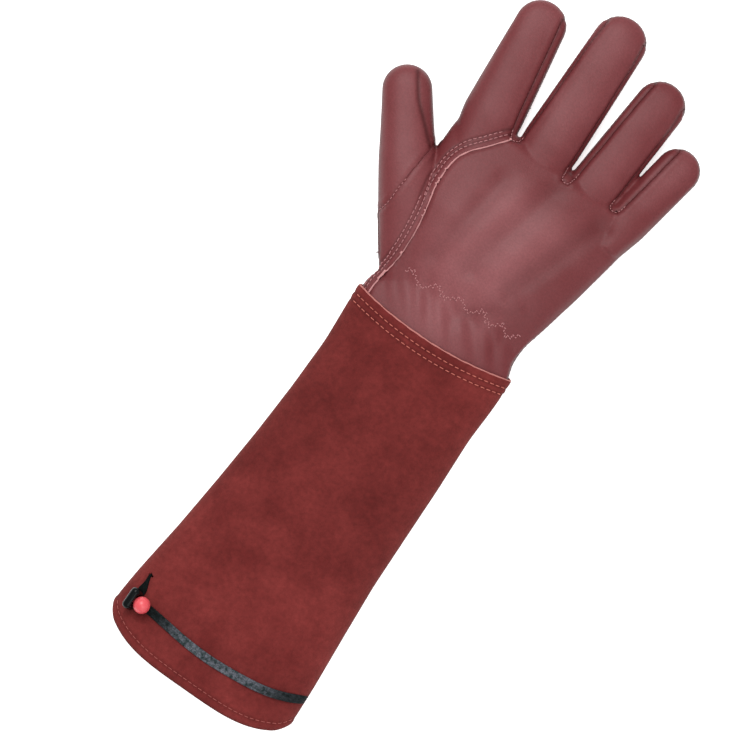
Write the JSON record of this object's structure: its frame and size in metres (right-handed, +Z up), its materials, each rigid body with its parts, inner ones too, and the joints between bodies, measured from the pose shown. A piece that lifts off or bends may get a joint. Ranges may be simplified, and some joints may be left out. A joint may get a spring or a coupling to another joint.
{
  "type": "rose pruning gauntlet",
  "caption": "Right-hand leather work glove with a long suede cuff, a suede palm patch and a drawcord with a cord lock near the cuff's mouth, lying palm down.",
  "frame": {"origin": "under the middle of the gauntlet's bounding box, on the surface that it rests on", "axes": "+Z up out of the back of the hand, +Y along the cuff towards the fingertips, +X towards the little finger, so the thumb is on the -X side"},
  "size_m": [0.1734, 0.4424, 0.0297],
  "materials": {
    "hand_leather": "smooth grain leather, soft satin, mauve red",
    "cuff_suede": "napped split leather, matt, dark red, mottled",
    "patch_suede": "napped split leather, matt, dark red",
    "seam_thread": "light pink sewing thread and raw leather edges",
    "drawcord_tape": "flat woven elastic tape, dark green-grey",
    "lock_black": "glossy black moulded plastic",
    "lock_red": "glossy coral red moulded plastic"
  },
  "bodies": {
    "gauntlet": {"cuff": "cuff_suede", "palm_patch": "patch_suede", "back_panel": "hand_leather", "palm_panel": "hand_leather", "thumb": "hand_leather", "middle_finger_front": "hand_leather", "ring_finger_front": "hand_leather", "fourchette_index_middle": "hand_leather", "fourchette_middle_ring": "hand_leather", "fourchette_ring_little": "hand_leather", "drawcord": "drawcord_tape", "lock_housing": "lock_black"},
    "button": {"lock_button": "lock_red"}
  },
  "joints": [
    {"name": "button_press", "type": "slide", "parent": "gauntlet", "child": "button", "axis": [-0.9497, 0, -0.3132], "range_m": [0, 0.001], "stiffness_N_per_m": 300}
  ]
}
